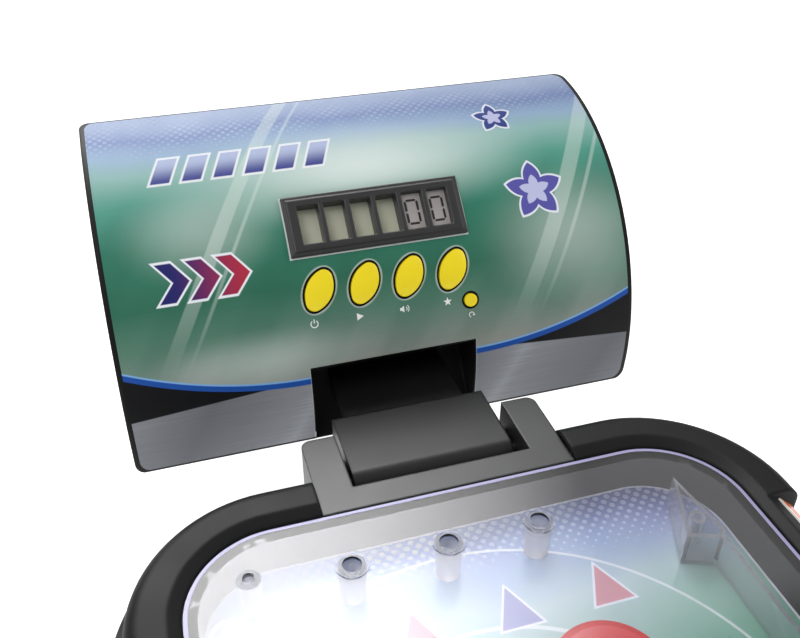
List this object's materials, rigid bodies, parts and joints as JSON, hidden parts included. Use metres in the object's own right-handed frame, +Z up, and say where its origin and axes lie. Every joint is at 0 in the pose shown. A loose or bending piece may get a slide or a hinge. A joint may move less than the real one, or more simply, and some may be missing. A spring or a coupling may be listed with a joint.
{
  "type": "tabletop_pinball_game",
  "caption": "Tabletop pinball game with a sloping tray under a clear cover, flippers worked by side buttons, a pull plunger, and a curved score head that folds on a hinge bracket.",
  "frame": {"origin": "bottom centre of the box around the part, on the table under the feet", "axes": "+X to the player's right, +Y away from the player towards the score head, +Z up"},
  "size_m": [0.35, 0.656, 0.2382],
  "materials": {
    "black_plastic": "fine satin grain",
    "dark_plastic": "matt grain",
    "charcoal_plastic": "satin",
    "steel": "plain",
    "ball_chrome": "polished",
    "playfield_print": "printed sheet on board",
    "clear_plastic": "clear polystyrene",
    "yellow_plastic": "gloss",
    "white_plastic": "gloss",
    "red_plastic": "gloss",
    "trim_print": "printed strip",
    "rubber": "matt",
    "label_print": "printed satin label",
    "display_glass": "segment display glass",
    "board_green": "solder mask",
    "switch_plastic": "plain",
    "battery_skin": "printed sleeve"
  },
  "bodies": {
    "table": {"housing": "black_plastic", "base_plate": "dark_plastic", "base_screws": "steel", "playfield_board": "playfield_print", "clear_cover": "clear_plastic", "lane_guide": "clear_plastic", "corner_guide": "clear_plastic", "sling_guides": "yellow_plastic", "bumper_bodies": "white_plastic", "bumper_caps": "red_plastic", "bracket": "charcoal_plastic", "side_trim_left": "trim_print", "side_trim_right": "trim_print", "rear_leg_left": "black_plastic", "rear_leg_right": "black_plastic", "front_feet": "black_plastic", "foot_pads": "rubber", "button_spring_left": "steel", "button_spring_right": "steel", "plunger_bush": "black_plastic", "plunger_spring": "steel"},
    "head": {"neck": "charcoal_plastic", "head_front": "black_plastic", "head_back": "dark_plastic", "head_screws": "steel", "neck_screws": "steel", "front_label": "label_print", "lcd_bezel": "charcoal_plastic", "lcd_panel": "display_glass", "digit_tiles": "display_glass", "circuit_board": "board_green", "tact_switches": "switch_plastic", "speaker": "switch_plastic", "batteries": "battery_skin", "battery_contacts": "steel", "battery_door": "dark_plastic"},
    "power_key": {"power_button": "yellow_plastic"},
    "play_key": {"play_button": "yellow_plastic"},
    "sound_key": {"sound_button": "yellow_plastic"},
    "score_key": {"score_button": "yellow_plastic"},
    "reset_key": {"reset_button": "yellow_plastic"},
    "flipper_left": {"flipper_blade_left": "yellow_plastic", "flipper_shaft_left": "steel"},
    "flipper_right": {"flipper_blade_right": "yellow_plastic", "flipper_shaft_right": "steel"},
    "push_left": {"flipper_button_left": "yellow_plastic"},
    "push_right": {"flipper_button_right": "yellow_plastic"},
    "plunger": {"plunger_rod": "steel", "plunger_knob": "yellow_plastic"},
    "play_ball": {"ball": "ball_chrome"}
  },
  "joints": [
    {"name": "head_fold", "type": "hinge", "parent": "table", "child": "head", "pos_m": [0, 0.15137, 0.09063], "axis": [1, 0, 0], "range_deg": [0, 105]},
    {"name": "power_press", "type": "slide", "parent": "head", "child": "power_key", "axis": [0, 0.9078, -0.4195], "range_m": [0, 0.0012], "stiffness_N_per_m": 400},
    {"name": "play_press", "type": "slide", "parent": "head", "child": "play_key", "axis": [0, 0.9078, -0.4195], "range_m": [0, 0.0012], "stiffness_N_per_m": 400},
    {"name": "sound_press", "type": "slide", "parent": "head", "child": "sound_key", "axis": [0, 0.9078, -0.4195], "range_m": [0, 0.0012], "stiffness_N_per_m": 400},
    {"name": "score_press", "type": "slide", "parent": "head", "child": "score_key", "axis": [0, 0.9078, -0.4195], "range_m": [0, 0.0012], "stiffness_N_per_m": 400},
    {"name": "reset_press", "type": "slide", "parent": "head", "child": "reset_key", "axis": [0, 0.9576, -0.2882], "range_m": [0, 0.0012], "stiffness_N_per_m": 400},
    {"name": "push_left_slide", "type": "slide", "parent": "table", "child": "push_left", "axis": [1, 0, 0], "range_m": [0, 0.008], "stiffness_N_per_m": 350, "deforming": ["button_spring_left"]},
    {"name": "flipper_left_turn", "type": "hinge", "parent": "table", "child": "flipper_left", "pos_m": [-0.059, -0.19587, 0.04986], "axis": [0, -0.1045, 0.9945], "range_deg": [0, 45]},
    {"name": "push_right_slide", "type": "slide", "parent": "table", "child": "push_right", "axis": [-1, 0, 0], "range_m": [0, 0.008], "stiffness_N_per_m": 350, "deforming": ["button_spring_right"]},
    {"name": "flipper_right_turn", "type": "hinge", "parent": "table", "child": "flipper_right", "pos_m": [0.037, -0.19587, 0.04986], "axis": [0, 0.1045, -0.9945], "range_deg": [0, 45]},
    {"name": "plunger_pull", "type": "slide", "parent": "table", "child": "plunger", "axis": [0, -0.9945, -0.1045], "range_m": [0, 0.025], "stiffness_N_per_m": 300, "deforming": ["plunger_spring"]},
    {"name": "ball_run", "type": "slide", "parent": "table", "child": "play_ball", "axis": [0, 0.9945, 0.1045], "range_m": [0, 0.25]}
  ],
  "couplings": [
    {"joint": "flipper_left_turn", "follows": "push_left_slide", "rad_per_m": 98.175},
    {"joint": "flipper_right_turn", "follows": "push_right_slide", "rad_per_m": 98.175}
  ]
}
